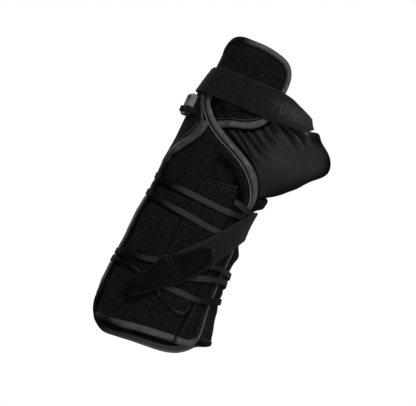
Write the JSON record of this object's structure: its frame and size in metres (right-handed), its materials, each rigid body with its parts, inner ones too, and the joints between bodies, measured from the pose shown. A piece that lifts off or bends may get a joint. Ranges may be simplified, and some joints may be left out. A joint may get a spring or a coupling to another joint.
{
  "type": "wrist brace",
  "caption": "Soft lace-up wrist and thumb brace: wrapped forearm panels with bound edges, stretch thumb sleeve, flat laces drawn by a pull strap, and a hand strap through a ring.",
  "frame": {"origin": "middle of the hollow at the wrist, where the wearer's wrist sits", "axes": "+Z along the forearm towards the fingers, +X towards the thumb, -Y out of the back of the hand"},
  "size_m": [0.1305, 0.0837, 0.2502],
  "materials": {
    "fleece": "brushed black fleece",
    "edge_tape": "folded dark grey edge tape",
    "stretch_sleeve": "satin black stretch cloth",
    "webbing": "woven black webbing",
    "hook_tab": "matt black hook-and-loop",
    "ring_plastic": "grey moulded plastic"
  },
  "bodies": {
    "root": {"forearm_panel": "fleece", "forearm_binding": "edge_tape", "back_panel": "fleece", "back_binding": "edge_tape", "hand_panel": "fleece", "hand_binding": "edge_tape", "thumb_sleeve": "stretch_sleeve", "stay_pocket": "fleece", "upper_lace": "webbing", "lower_lace": "webbing", "pull_strap": "webbing", "pull_tab": "hook_tab", "hand_strap": "webbing", "strap_ring": "ring_plastic", "ring_loop": "webbing"}
  },
  "joints": []
}
